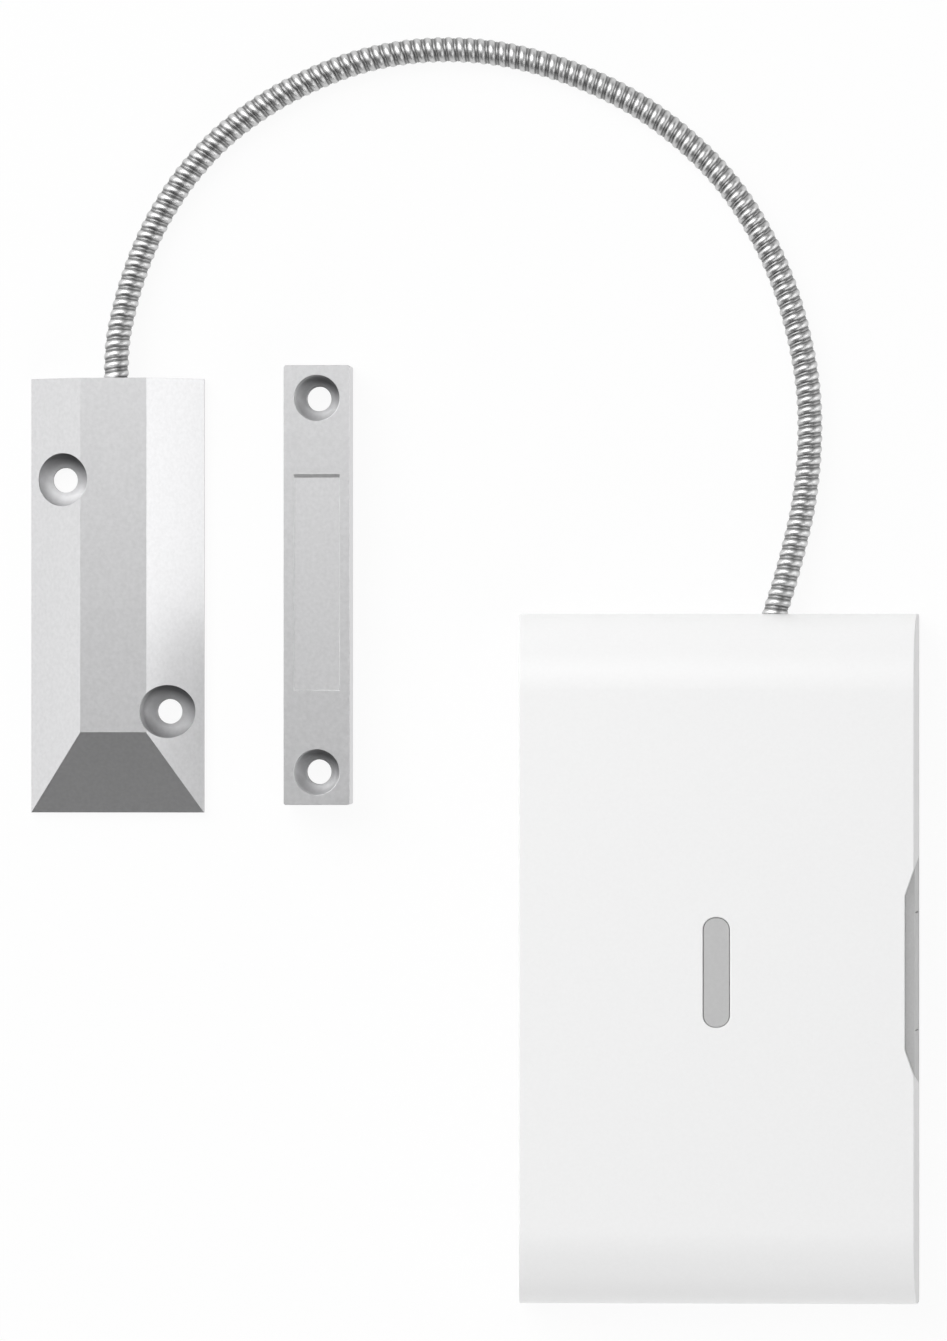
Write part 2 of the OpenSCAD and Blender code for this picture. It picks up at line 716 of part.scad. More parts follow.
// Back plate with its rim, posts, conduit cradle and latch ears
module back_plate() {
    corner = 0.8;
    rim_x = case_half(plate_t) - case_wall - fit;
    rim_y = case_len / 2 - case_wall - fit;
    cradle_low = plate_t - 0.5;
    color("whitesmoke") at_case() difference() {
        union() {
            slab(0, plate_t) round_rect(case_w, case_len, corner);
            difference() {
                slab(plate_t - 0.5, plate_t + rim_h) square([2 * rim_x - 2 * lean(rim_h),
                    2 * rim_y], center = true);
                slab(0, case_h) square([2 * rim_x - 2 * lean(rim_h) - 2 * rim_t,
                    2 * rim_y - 2 * rim_t], center = true);
                block([rim_x - 3 * rim_t, -feature_drop - latch_outer_len / 2 - 6, plate_t],
                      [rim_x + over, -feature_drop + latch_outer_len / 2 + 6, case_h]);
                block([notch_x - notch_r - 2, rim_y - 2 * rim_t, plate_t],
                      [notch_x + notch_r + 2, rim_y + over, case_h]);
            }
            block([entry_x - clamp_w / 2, clamp_y - clamp_len / 2, cradle_low],
                  [entry_x + clamp_w / 2, clamp_y + clamp_len / 2, entry_z]);
            board_corners() slab(cradle_low, board_z) circle(post_r);
            latch_ears();
            holder_post_places() slab(cradle_low, plate_t + 2) circle(post_r);
        }
        for (x = [-1, 1], y = [-1, 1]) translate([x * wall_screw_x / 2, y * wall_screw_y / 2, -over])
            cylinder(d = wall_screw_d, h = plate_t + 2 * over);
        rod_y(entry_x, entry_z, groove_r, clamp_y - clamp_len, clamp_y + clamp_len);
        for (side = [-1, 1]) translate([entry_x + side * clamp_screw_x, clamp_y, plate_t - 1])
            cylinder(d = clamp_screw_d + 0.1, h = case_h);
        board_corners() translate([0, 0, plate_t]) cylinder(d = board_screw_d + 0.1, h = board_z);
        holder_post_places() translate([0, 0, 1]) cylinder(d = board_screw_d + 0.1, h = board_z);
        rod_y(latch_pin_x, latch_pin_z, latch_pin_d / 2 + snug, -feature_drop - latch_barrel_len,
              -feature_drop + latch_barrel_len);
    }
}

// Lean of the case's side over a height
function lean(h) = case_draft * h / (case_h - plate_t);

// The four board screws' places
module board_corners() {
    for (x = [-1, 1], y = [-1, 1])
        translate([board_at.x + x * (board_w / 2 - board_screw_inset),
                   board_at.y + y * (board_len / 2 - board_screw_inset), 0]) children();
}

// The two ears that carry the latch's pin
module latch_ears() {
    for (side = [-1, 1])
        translate([0, -feature_drop + side * (latch_barrel_len / 2 + run + latch_ear_t / 2), 0])
            block([latch_pin_x - latch_barrel_r, -latch_ear_t / 2, plate_t - 0.5],
                  [latch_pin_x + latch_barrel_r, latch_ear_t / 2, latch_pin_z + latch_barrel_r]);
}

// Side view of the cover: flat face, quarter-round ends and a short straight foot
module cover_side(inset, foot) {
    half = case_len / 2 - inset;
    bend = case_len / 2 - case_end_r;
    intersection() {
        union() {
            translate([-half, 0]) square([2 * half, case_h - case_end_r]);
            translate([-bend, 0]) square([2 * bend, case_h - inset]);
            for (end = [-1, 1]) translate([end * bend, case_h - case_end_r])
                circle(case_end_r - inset, $fn = 96);
        }
        translate([-half, foot]) square([2 * half, case_h]);
    }
}

// Solid with the cover's side view and its leaning long sides
module cover_form(inset, foot) {
    low = case_half(0) - inset;
    high = case_half(case_h) - inset;
    intersection() {
        translate([-case_w, 0, 0]) rotate([90, 0, 90]) linear_extrude(2 * case_w) cover_side(inset, foot);
        translate([0, case_len, 0]) rotate([90, 0, 0]) linear_extrude(2 * case_len)
            polygon([[-low, 0], [low, 0], [high, case_h], [-high, case_h]]);
    }
}

// Plan of the latch opening, narrowed all round by a gap
module latch_plan(gap) {
    inner = latch_inner_len / 2 - gap;
    reach = case_w / 2 + 1 - latch_inner_x;
    outer = inner + latch_slope * reach;
    translate([latch_inner_x, -feature_drop])
        polygon([[gap, -inner], [reach, -outer], [reach, outer], [gap, inner]]);
}

// White moulded cover, open below, with the light bar's slot and the latch's opening
module front_cover() {
    color("white") at_case() difference() {
        union() {
            difference() {
                cover_form(0, cover_z0);
                cover_form(case_wall, 0);
            }
            translate([tamper_at.x, tamper_at.y, plunger_top])
                cylinder(d = post_d, h = roof_z - plunger_top + 0.5);
        }
        translate([0, -feature_drop, 0]) slab(roof_z - over, case_h + over)
            round_rect(lens_w + 2 * fit, lens_len + 2 * fit, lens_r + fit);
        slab(0, case_h + over) latch_plan(0);
        rod_y(notch_x, entry_z, notch_r, case_len / 2 - 2 * case_wall, case_len / 2 + over);
        block([notch_x - notch_r, case_len / 2 - 2 * case_wall, 0],
              [notch_x + notch_r, case_len / 2 + over, entry_z]);
    }
}

// Frosted light bar, held under the face by its flange, with a light guide down to the board
module light_bar() {
    flange = 1.5;
    flange_t = 1;
    guide_w = 2.4;
    color("darkgray") at_case() translate([0, -feature_drop, 0]) {
        slab(roof_z - 0.5, case_h) round_rect(lens_w, lens_len, lens_r);
        slab(roof_z - flange_t, roof_z)
            round_rect(lens_w + 2 * flange, lens_len + 2 * flange, lens_r + flange);
        slab(led_top + 1, roof_z - flange_t + 0.1)
            square([guide_w, lens_len - 2 * lens_r], center = true);
    }
}

// Lengthwise solid with the case's leaning sides, cut back by a gap
module leaning_side(from_x, z0, z1, gap) {
    translate([0, case_len, 0]) rotate([90, 0, 0]) linear_extrude(2 * case_len)
        polygon([[from_x, z0], [case_half(z0) - gap, z0], [case_half(z1) - gap, z1], [from_x, z1]]);
}

// Grey insert bonded in the cover's side opening: an arch over the thumb pad, with a sloping top
module latch_bezel() {
    mouth = latch_pad_len / 2 + run;
    color("gray") at_case() difference() {
        intersection() {
            slab(cover_z0, bezel_top) latch_plan(hair);
            leaning_side(latch_inner_x - over, cover_z0, bezel_top, 2 * hair);
            translate([0, case_len, 0]) rotate([90, 0, 0]) linear_extrude(2 * case_len)
                polygon([[0, 0], [case_w, 0], [case_w, bezel_top - bezel_fall],
                         [face_half, bezel_top - bezel_fall],
                         [latch_inner_x, bezel_top], [0, bezel_top]]);
        }
        block([0, -feature_drop - mouth, 0], [case_w, -feature_drop + mouth, latch_pad_top + run]);
    }
}

// Grey latch: thumb pad in the insert's mouth, flange behind it and a barrel on the pin
module release_latch() {
    pad_half = latch_pad_len / 2;
    barrel_half = latch_barrel_len / 2;
    web_half = barrel_half - 1;
    flange_low = latch_pin_z + latch_spring_leg + 1;
    color("gray") at_case() translate([0, -feature_drop, 0]) difference() {
        union() {
            intersection() {
                block([0, -pad_half, cover_z0 + run], [case_w, pad_half, latch_pad_top]);
                leaning_side(latch_pad_x, plate_t, latch_pad_top, 2 * hair);
            }
            block([latch_flange_x - latch_flange_t, -pad_half - latch_flange_lip, flange_low],
                  [latch_flange_x, pad_half + latch_flange_lip, latch_pad_top + latch_flange_lip]);
            block([latch_flange_x - latch_flange_t, -web_half, latch_pin_z],
                  [latch_pad_x + 0.5, web_half, latch_pad_top - 1]);
            rod_y(latch_pin_x, latch_pin_z, latch_barrel_r, -barrel_half, barrel_half);
        }
        rod_y(latch_pin_x, latch_pin_z, latch_pin_d / 2 + 0.1, -case_len / 2, case_len / 2);
        block([0, -latch_spring_gap / 2, 0], [latch_pad_x, latch_spring_gap / 2, flange_low]);
    }
}

// Steel pin that the latch turns on
module latch_pin() {
    half = latch_barrel_len / 2 + run + latch_ear_t;
    color("silver") at_case()
        rod_y(latch_pin_x, latch_pin_z, latch_pin_d / 2, -feature_drop - half, -feature_drop + half);
}

// Torsion spring: a foot on the back plate, turns round the pin and a leg up behind the thumb pad
module latch_spring() {
    turns = 3.25;
    steps = 12;
    coil_r = latch_pin_d / 2 + latch_wire / 2 + 0.15;
    rise = latch_wire * 1.3;
    foot_reach = 5;
    foot_rise = 2;
    y0 = -feature_drop - turns * rise / 2;
    y1 = y0 + turns * rise;
    leg_x = latch_pad_x - run - latch_wire / 2;
    coil = [for (i = [0:turns * steps]) let (a = -90 + 360 * i / steps)
        [latch_pin_x + coil_r * cos(a), y0 + rise * i / steps, latch_pin_z + coil_r * sin(a)]];
    color("silver") at_case() cord(concat(
        [[latch_pin_x - foot_reach, y0, plate_t + latch_wire / 2 + hair],
         [latch_pin_x - foot_rise, y0, (plate_t + latch_pin_z - coil_r) / 2 + latch_wire / 2]],
        coil,
        [[(latch_pin_x + coil_r + leg_x) / 2, y1, latch_pin_z + latch_spring_leg / 2],
         [leg_x, y1, latch_pin_z + latch_spring_leg]]
    ), latch_wire / 2, 6, [0, 1, 0]);
}

// Printed circuit board on its four posts
module main_board() {
    color("darkgreen") at_case() difference() {
        translate([board_at.x, board_at.y, 0])
            slab(board_z, board_top) round_rect(board_w, board_len, 1.5);
        board_corners() translate([0, 0, 1]) cylinder(d = board_screw_d + 2 * fit + 0.4, h = board_top);
    }
}

// Four screws that hold the board
module board_screws() {
    color("silver") at_case() board_corners()
        screw(board_screw_d, board_head_d, board_head_t, plate_t + 0.5, board_top);
}

// The two holder screws' places
module holder_post_places() {
    for (x = [-1, 1]) translate([holder_at.x + x * (holder_inner_len / 2 + holder_wall + holder_ear / 2),
        holder_at.y, 0]) children();
}

// Tray for two cells side by side, with an ear at each end
module battery_holder() {
    outer_l = holder_inner_len + 2 * holder_wall;
    low = plate_t;
    seat = plate_t + 2;
    color("black") at_case() difference() {
        union() {
            translate([holder_at.x, holder_at.y, 0]) block([-outer_l / 2, -holder_w / 2, low],
                [outer_l / 2, holder_w / 2, low + holder_h]);
            translate([holder_at.x, holder_at.y, 0]) block(
                [-outer_l / 2 - holder_ear, -holder_ear / 2, seat],
                [outer_l / 2 + holder_ear, holder_ear / 2, seat + holder_wall]);
        }
        for (side = [-1, 1]) translate([holder_at.x, holder_at.y + side * cell_row, 0])
            block([-holder_inner_len / 2, -cell_d / 2 - fit, low + holder_wall],
                  [holder_inner_len / 2, cell_d / 2 + fit, case_h]);
        holder_post_places() cylinder(d = board_screw_d + 2 * fit, h = case_h);
    }
}

// Two screws that hold the battery holder
module holder_screws() {
    color("silver") at_case() holder_post_places()
        screw(board_screw_d, board_head_d, board_head_t, plate_t - 1, plate_t + 2 + holder_wall);
}

// One battery cell along X: its can and the button at its positive end
module battery_cell(side) {
    nub_d = 5.5;
    nub_h = 1;
    rim = 0.6;
    color("darkslategray") at_case()
        translate([holder_at.x + side * cell_shift, holder_at.y + side * cell_row, cell_z])
            rotate([0, side * 90, 0]) translate([0, 0, -cell_len / 2]) rotate_extrude()
                polygon([[0, 0], [cell_d / 2 - rim, 0], [cell_d / 2, rim],
                         [cell_d / 2, cell_len - nub_h - rim], [cell_d / 2 - rim, cell_len - nub_h],
                         [nub_d / 2, cell_len - nub_h], [nub_d / 2, cell_len], [0, cell_len]]);
}
module battery_cell_1() { battery_cell(1); }
module battery_cell_2() { battery_cell(-1); }

// Conical springs that press on the cells' flat ends
module battery_springs() {
    turns = 3;
    steps = 12;
    wire = 0.8;
    wide = 4;
    narrow = 2.5;
    deep = spring_room + 0.5 - tab_t - wire - 2 * fit;
    for (side = [-1, 1]) color("silver") at_case()
        translate([holder_at.x - side * (holder_inner_len / 2 - tab_t - wire / 2 - fit),
                   holder_at.y + side * cell_row, cell_z])
            cord([for (i = [0:turns * steps]) let (t = i / turns / steps, a = 360 * i / steps,
                    r = wide + (narrow - wide) * t)
                [side * deep * t, r * cos(a), r * sin(a)]], wire / 2, 6, [1, 0, 0]);
}

// Flat tabs at both ends of both cells
module battery_tabs() {
    size = 9;
    color("silver") at_case() for (side = [-1, 1], end = [-1, 1])
        translate([holder_at.x + end * (holder_inner_len / 2 - tab_t / 2 - snug),
                   holder_at.y + side * cell_row, cell_z])
            cube([tab_t, size, size], center = true);
}

// Two wires from the holder's tabs up to the board
module battery_leads() {
    wire = 1.2;
    wall_y = holder_at.y + holder_w / 2;
    top_y = board_at.y - board_len / 2 + 4;
    last_x = holder_at.x + holder_inner_len / 2 - 4;
    color("red") at_case() for (i = [0, 1]) let (x = last_x - 5 * i)
        cord(smooth([[x, wall_y + wire / 2 + hair, cell_z], [x, wall_y + 3, cell_z + 1],
            [x, top_y - 4, board_top + 3], [x, top_y, board_top + wire / 2 + hair]], 4), wire / 2);
}

// Screw terminal block at the upper edge of the board
module terminal_block() {
    color("seagreen") at_case() translate([terminal_at.x, terminal_at.y, board_top]) difference() {
        block([-terminal_w / 2, -terminal_d / 2, 0], [terminal_w / 2, terminal_d / 2, terminal_h]);
        terminal_places() {
            translate([0, 0, terminal_h - terminal_well]) cylinder(d = 3.6, h = terminal_h);
            block([-1.6, 0, over], [1.6, terminal_d, 4.5]);
        }
    }
}
module terminal_places() {
    for (i = [0:terminal_poles - 1])
        translate([(i - (terminal_poles - 1) / 2) * terminal_pitch, 0, 0]) children();
}

// The terminal block's screws
module terminal_screws() {
    color("silver") at_case() translate([terminal_at.x, terminal_at.y, board_top]) terminal_places()
        difference() {
            translate([0, 0, terminal_h - terminal_well]) cylinder(d = 3.3, h = 3);
            block([-2, -0.3, terminal_h - 1.8], [2, 0.3, terminal_h]);
        }
}

// Two cores from the cable's end to the terminal block
module case_leads() {
    y0 = entry_y - case_tail - core_start;
    mouth_y = terminal_at.y + terminal_d / 2;
    mouth_z = board_top + 2.8;
    color("firebrick") at_case() for (side = [-1, 1])
        let (pole_x = terminal_at.x + (side + 2) * terminal_pitch / 2)
        cord(smooth([[entry_x + side * core_reach, y0, entry_z],
            [entry_x + side * core_reach, y0 - 1, entry_z],
            [pole_x + (entry_x - pole_x) * 0.3, mouth_y + 3.4, mouth_z - 0.5],
            [pole_x, mouth_y + 1, mouth_z], [pole_x, mouth_y - 2.5, mouth_z]], 4), core_d / 2);
}

// Tamper switch under the cover's post
module tamper_switch() {
    color("dimgray") at_case() translate([tamper_at.x, tamper_at.y, board_top]) difference() {
        block([-switch_w / 2, -switch_w / 2, 0], [switch_w / 2, switch_w / 2, tamper_switch_h]);
        translate([0, 0, switch_floor]) cylinder(d = plunger_d + 2 * plunger_clear, h = tamper_switch_h);
    }
}

// Plunger that the closed cover holds down
module tamper_plunger() {
    color("ivory") at_case() translate([tamper_at.x, tamper_at.y, 0]) difference() {
        translate([0, 0, plunger_foot])
            cylinder(d = plunger_d, h = plunger_top - plunger_foot - 2 * hair);
        translate([0, 0, plunger_foot - over]) cylinder(d = 0.8, h = 1.5);
    }
}

// Spring under the plunger
module tamper_spring() {
    turns = 4;
    steps = 10;
    wire = 0.3;
    low = board_top + switch_floor + wire / 2 + snug;
    high = plunger_foot - wire / 2 - snug;
    coil_r = plunger_d / 2 - 0.35;
    color("silver") at_case() translate([tamper_at.x, tamper_at.y, 0])
        cord([for (i = [0:turns * steps]) let (a = 360 * i / steps)
            [coil_r * cos(a), coil_r * sin(a), low + (high - low) * i / turns / steps]], wire / 2, 6);
}

// Pairing push switch: body and button
module pairing_switch() {
    color("dimgray") at_case() translate([pairing_at.x, pairing_at.y, board_top]) difference() {
        block([-switch_w / 2, -switch_w / 2, 0], [switch_w / 2, switch_w / 2, pairing_h]);
        translate([0, 0, button_floor]) cylinder(d = button_d + 2 * plunger_clear, h = pairing_h);
    }
}
module pairing_button() {
    lift = 0.4;
    rise = 1.5;
    color("white") at_case() translate([pairing_at.x, pairing_at.y, board_top + button_floor + lift])
        cylinder(d = button_d, h = pairing_h + rise - button_floor - lift);
}

// Row of light-emitting diodes below the light guide
module status_leds() {
    pitch = 6;
    color("lightyellow") at_case() for (i = [-1:1])
        translate([0, -feature_drop + i * pitch, board_top + led_h / 2])
            cube([2, 3, led_h], center = true);
}

// Radio module with its screening can
module radio_module() {
    carrier_t = 0.9;
    can_w = 15;
    can_len = 17;
    can_h = 2.4;
    can_shift = -2;
    color("silver") at_case() translate([radio_at.x, radio_at.y, board_top]) {
        slab(0, carrier_t) square([radio_w, radio_len], center = true);
        slab(carrier_t - 0.1, carrier_t + can_h) translate([0, can_shift]) round_rect(can_w, can_len, 0.8);
    }
}

// Helical antenna beside the radio module
module antenna() {
    turns = 8;
    steps = 12;
    wire = 0.8;
    coil_r = 2.5;
    length = 16;
    beside_radio = 13;
    y0 = radio_at.y - radio_len / 2;
    x = radio_at.x + beside_radio;
    z = board_top + coil_r + wire / 2 + hair;
    color("goldenrod") at_case()
        cord([for (i = [0:turns * steps]) let (a = -90 + 360 * i / steps)
            [x + coil_r * cos(a), y0 + length * i / turns / steps, z + coil_r * sin(a)]],
            wire / 2, 6, [0, 1, 0]);
}

// Controller in its flat package
module controller_chip() {
    chip_w = 12;
    chip_t = 1.4;
    color("black") at_case() translate([chip_at.x, chip_at.y, board_top])
        slab(0, chip_t) round_rect(chip_w, chip_w, 0.4);
}

// Two electrolytic capacitors
module capacitors() {
    can_d = 6.3;
    can_h = 7;
    foot_w = 6.8;
    foot_t = 0.8;
    pitch = 8;
    color("navy") at_case() for (side = [-1, 1])
        translate([capacitor_at.x, capacitor_at.y + side * pitch / 2, board_top]) {
            cylinder(d = can_d, h = can_h);
            slab(0, foot_t) square(foot_w, center = true);
        }
}

contact_housing();
slot_cover();
reed_carrier();
reed_capsule();
reed_blade_fixed();
reed_blade_moving();
reed_lead();
contact_leads();
cable_potting();
contact_end_bushing();
armoured_conduit();
signal_cable();
case_end_bushing();
conduit_clamp();
clamp_screws();
magnet_housing();
bar_magnet();
magnet_back_plate();
back_plate();
front_cover();
light_bar();
latch_bezel();
release_latch();
latch_pin();
latch_spring();
main_board();
board_screws();
battery_holder();
holder_screws();
battery_cell_1();
battery_cell_2();
battery_springs();
battery_tabs();
battery_leads();
terminal_block();
terminal_screws();
case_leads();
tamper_switch();
tamper_plunger();
tamper_spring();
pairing_switch();
pairing_button();
status_leds();
radio_module();
antenna();
controller_chip();
capacitors();
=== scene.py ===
# %% [markdown]
# # A garage door switch
# Three units lie on a white table: a die-cast contact, its magnet, and a battery transmitter that an
# armoured conduit joins to the contact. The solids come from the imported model, already in metres and
# in place. This lesson adds the camera, the cords, softened edges, finishes, a table and lamps.

# %% Load the solids
import json
import bmesh
import bpy
import numpy as np
from mathutils import Matrix, Vector

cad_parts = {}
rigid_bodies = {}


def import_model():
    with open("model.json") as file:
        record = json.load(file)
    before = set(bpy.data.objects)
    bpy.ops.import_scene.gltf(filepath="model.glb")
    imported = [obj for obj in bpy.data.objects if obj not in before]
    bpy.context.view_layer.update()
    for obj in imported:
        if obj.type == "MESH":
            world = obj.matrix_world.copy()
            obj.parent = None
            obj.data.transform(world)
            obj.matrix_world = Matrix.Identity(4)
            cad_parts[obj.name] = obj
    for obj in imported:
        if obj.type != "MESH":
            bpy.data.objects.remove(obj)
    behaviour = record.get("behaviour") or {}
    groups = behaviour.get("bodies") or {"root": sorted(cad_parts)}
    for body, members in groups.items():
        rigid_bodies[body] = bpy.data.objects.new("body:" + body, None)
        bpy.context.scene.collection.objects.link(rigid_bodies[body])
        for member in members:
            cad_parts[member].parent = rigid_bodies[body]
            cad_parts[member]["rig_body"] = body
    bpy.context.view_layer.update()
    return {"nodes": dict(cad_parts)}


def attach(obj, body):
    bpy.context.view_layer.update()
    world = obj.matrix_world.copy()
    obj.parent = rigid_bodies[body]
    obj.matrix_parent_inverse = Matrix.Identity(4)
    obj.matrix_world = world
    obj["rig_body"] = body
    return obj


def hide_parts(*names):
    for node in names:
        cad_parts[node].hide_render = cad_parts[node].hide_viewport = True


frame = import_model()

NODES = frame["nodes"]

# %% [markdown]
# ## Camera
# The photograph looks straight down on the set from a little to the right, because the transmitter
# shows a sliver of its right side and none of its left. A long lens 2.5 m away keeps the units
# nearly true to shape. The camera is turned by a matrix made of its right, up and backward directions.

# %% Camera
EYE = Vector((0.125, 0.0395, 2.5))
AIM = Vector((-0.0003, 0.0394, 0.0))
lens = bpy.data.cameras.new("long_lens")
lens.lens, lens.sensor_width = 277.6, 36
camera = bpy.data.objects.new("camera", lens)
bpy.context.scene.collection.objects.link(camera)
bpy.context.scene.camera = camera
forward = (AIM - EYE).normalized()
right = forward.cross(Vector((0, 1, 0))).normalized()
axes = Matrix((right, right.cross(forward), -forward)).transposed()
camera.matrix_world = Matrix.Translation(EYE) @ axes.to_4x4()
print("camera", round((AIM - EYE).length, 3), "m from its aim")

# %% [markdown]
# ## Route of the conduit
# The conduit leaves the contact's upper end, sags onto the table, swings over in one wide arch and
# climbs into the transmitter's upper end. Its centre line is a smooth curve through 32 points. On each
# stretch the curve is a cubic whose slope at a point is half the step between that point's neighbours.

# %% Route
ROUTE = np.array([
    [-86.5, 100.5, 6], [-86.5, 106.5, 6], [-86.5, 112.5, 6], [-86.2, 118.5, 5.7], [-85.2, 124.5, 5],
    [-83.2, 132.5, 4], [-80, 141.5, 3.3], [-75.5, 150.5, 3.1], [-69, 160, 3.1],
    [-60.5, 169, 3.1], [-50, 176.7, 3.1], [-38.5, 182.7, 3.1], [-26, 187.1, 3.1],
    [-12.5, 189.3, 3.1], [1.5, 189.1, 3.1], [15, 186.5, 3.1], [28, 181.9, 3.1],
    [40, 175.7, 3.1], [51, 167.5, 3.1], [60.5, 157.9, 3.1], [68.3, 146.5, 3.1],
    [74.3, 134, 3.1], [78.4, 120.5, 3.1], [80.8, 106.5, 3.1], [81, 92.5, 3.1],
    [79.6, 79.5, 3.3], [77.3, 69, 4.2], [74.9, 60, 5.4], [72.6, 52.5, 6.1],
    [71.25, 45.5, 6.2], [71.25, 39.5, 6.2], [71.25, 33.5, 6.2]
]) / 1000


def curve_through(points, steps):
    """Points of a smooth curve: on each stretch from b to c, between neighbours a and d, half of
    2b + (c - a)t + (2a - 5b + 4c - d)t^2 + (3b - a - 3c + d)t^3, with t from 0 to 1."""
    p = np.vstack([2 * points[0] - points[1], points, 2 * points[-1] - points[-2]])
    a, b, c, d = (p[i:len(p) - 3 + i, None] for i in range(4))
    t = np.linspace(0, 1, steps, endpoint=False)[None, :, None]
    bend = (2 * a - 5 * b + 4 * c - d) * t ** 2
    twist = (3 * b - a - 3 * c + d) * t ** 3
    q = (2 * b + (c - a) * t + bend + twist) / 2
    return np.vstack([q.reshape(-1, 3), points[-1:]])


def running_length(line):
    """Length of the line up to each of its points: the sum of the steps before it."""
    return np.concatenate([[0], np.cumsum(np.linalg.norm(np.diff(line, axis=0), axis=1))])


ROUTE_LINE = curve_through(ROUTE, steps=24)
CONDUIT_LENGTH = float(running_length(ROUTE_LINE)[-1])
print("conduit", round(CONDUIT_LENGTH, 4), "m long")

# %% [markdown]
# ## Putting a surface into a mesh
# Every new surface here is a grid: one number runs along it and another runs across it. Numpy works
# out all the points at once, and the faces join each point to its neighbours in the grid. A tube is a
# grid rolled up, so its seam and ends are closed by merging the points that fall together.

# %% Grids and frames along a line
def frames_along(line, lengths, at):
    """Centre, sideways and upward unit vectors of the line at the given running lengths: places come
    from straight interpolation, sideways is heading x vertical, and upward is sideways x heading."""
    def place(s):
        return np.stack([np.interp(s, lengths, line[:, k]) for k in range(3)], axis=-1)
    reach = 0.0004
    heading = place(np.minimum(at + reach, lengths[-1])) - place(np.maximum(at - reach, 0))
    heading /= np.linalg.norm(heading, axis=-1, keepdims=True)
    side = np.cross(heading, [0, 0, 1.0])
    side /= np.linalg.norm(side, axis=-1, keepdims=True)
    return place(at), side, np.cross(side, heading)


def grid_faces(rows, columns, first=0):
    """Squares of a grid numbered row by row: a point, the next in its row, and the two beside them
    in the next row."""
    i, k = np.meshgrid(np.arange(rows - 1), np.arange(columns - 1), indexing="ij")
    a = first + i * columns + k
    return np.stack([a, a + 1, a + columns + 1, a + columns], axis=-1).reshape(-1, 4)


def new_piece(name, points, faces, chart=None):
    """A mesh object at the origin from whole arrays. chart gives each point's place on the flat
    strip."""
    mesh = bpy.data.meshes.new(name)
    mesh.from_pydata(points, [], faces.tolist())
    if chart is not None:
        corner = np.empty(len(mesh.loops), np.int32)
        mesh.loops.foreach_get("vertex_index", corner)
        mesh.uv_layers.new(name="strip").data.foreach_set("uv", chart[corner].astype(np.float32).ravel())
    clean = bmesh.new()
    clean.from_mesh(mesh)
    bmesh.ops.remove_doubles(clean, verts=clean.verts, dist=1e-6)
    bmesh.ops.recalc_face_normals(clean, faces=clean.faces)
    clean.to_mesh(mesh)
    clean.free()
    mesh.polygons.foreach_set("use_smooth", np.ones(len(mesh.polygons), bool))
    piece = bpy.data.objects.new(name, mesh)
    bpy.context.scene.collection.objects.link(piece)
    print(name, len(mesh.vertices), "points,", len(mesh.polygons), "faces")
    return piece


# %% [markdown]
# ## Armoured conduit
# The real conduit is a steel strip rolled to a profile and wound into a helix, each turn hooked into
# the one before. So the surface here is a profile carried round a helix. One number is the turn, the
# other is the place across the strip. A half wave fills seven tenths of the strip; the rest is the
# groove where the turns hook, with the low ridge of the hooked edge in it. A plain ring at every rib
# would be simpler, but the slant of a helix shows.

# %% Strip-wound armour
TURNS, SIDES = 136, 24
PITCH = CONDUIT_LENGTH / TURNS
BORE = 0.0022
BORE_RINGS = 71
ROOT = 0.00268
HUMP_SHARE, HUMP_RISE, HUMP_POWER = 0.7, 0.00040, 0.7
EDGE_START, EDGE_RISE = 0.72, 0.00012
ACROSS = np.linspace(0, 1, 19)


def half_wave(start, end):
    """0 at the start, 1 half way and 0 at the end of a stretch of the strip, and 0 past its ends."""
    return np.sin(np.pi * np.clip((ACROSS - start) / (end - start), 0, 1))


HUMP = ROOT + np.where(ACROSS < HUMP_SHARE, HUMP_RISE * half_wave(0, HUMP_SHARE) ** HUMP_POWER,
                       EDGE_RISE * half_wave(EDGE_START, 1))


def wound_strip():
    """Angle = -2 pi x turn, distance along = pitch x (turn + place across), radius = hump(place across);
    distances past either end are held at that end, and the bore is a plain tube inside."""
    turn = np.arange(-SIDES, TURNS * SIDES + 1)[:, None] / SIDES
    across, radius = ACROSS[None, :], HUMP[None, :]
    raw = PITCH * (turn + across)
    s = np.clip(raw, 0, CONDUIT_LENGTH)
    radius = np.where((raw < 0) | (raw > CONDUIT_LENGTH), ROOT, radius)
    rows, columns = raw.shape
    faces = grid_faces(rows, columns)
    outside = (raw <= 0) | (raw >= CONDUIT_LENGTH)
    faces = faces[~outside.ravel()[faces].all(axis=1)]
    chart = np.stack(np.broadcast_arrays(turn, across), axis=-1).reshape(-1, 2)
    # the bore: an end ring on the outside, the inner tube, and the other end ring
    stations = np.concatenate([[0], np.linspace(0, CONDUIT_LENGTH, BORE_RINGS), [CONDUIT_LENGTH]])
    bore_r = np.concatenate([[ROOT], np.full(BORE_RINGS, BORE), [ROOT]])
    inner_turn = np.arange(SIDES + 1) / SIDES
    s_all = np.concatenate([s.ravel(), np.repeat(stations, SIDES + 1)])
    turn_all = np.concatenate([np.broadcast_to(turn, raw.shape).ravel(),
                               np.tile(inner_turn, len(stations))])
    r_all = np.concatenate([radius.ravel(), np.repeat(bore_r, SIDES + 1)])
    centre, side, up = frames_along(ROUTE_LINE, running_length(ROUTE_LINE), s_all)
    angle = -2 * np.pi * turn_all
    points = centre + r_all[:, None] * (np.cos(angle)[:, None] * side + np.sin(angle)[:, None] * up)
    inner = grid_faces(len(stations), SIDES + 1, rows * columns)
    chart = np.vstack([chart, np.zeros((len(stations) * (SIDES + 1), 2))])
    return points, np.vstack([faces, inner])[:, ::-1], chart


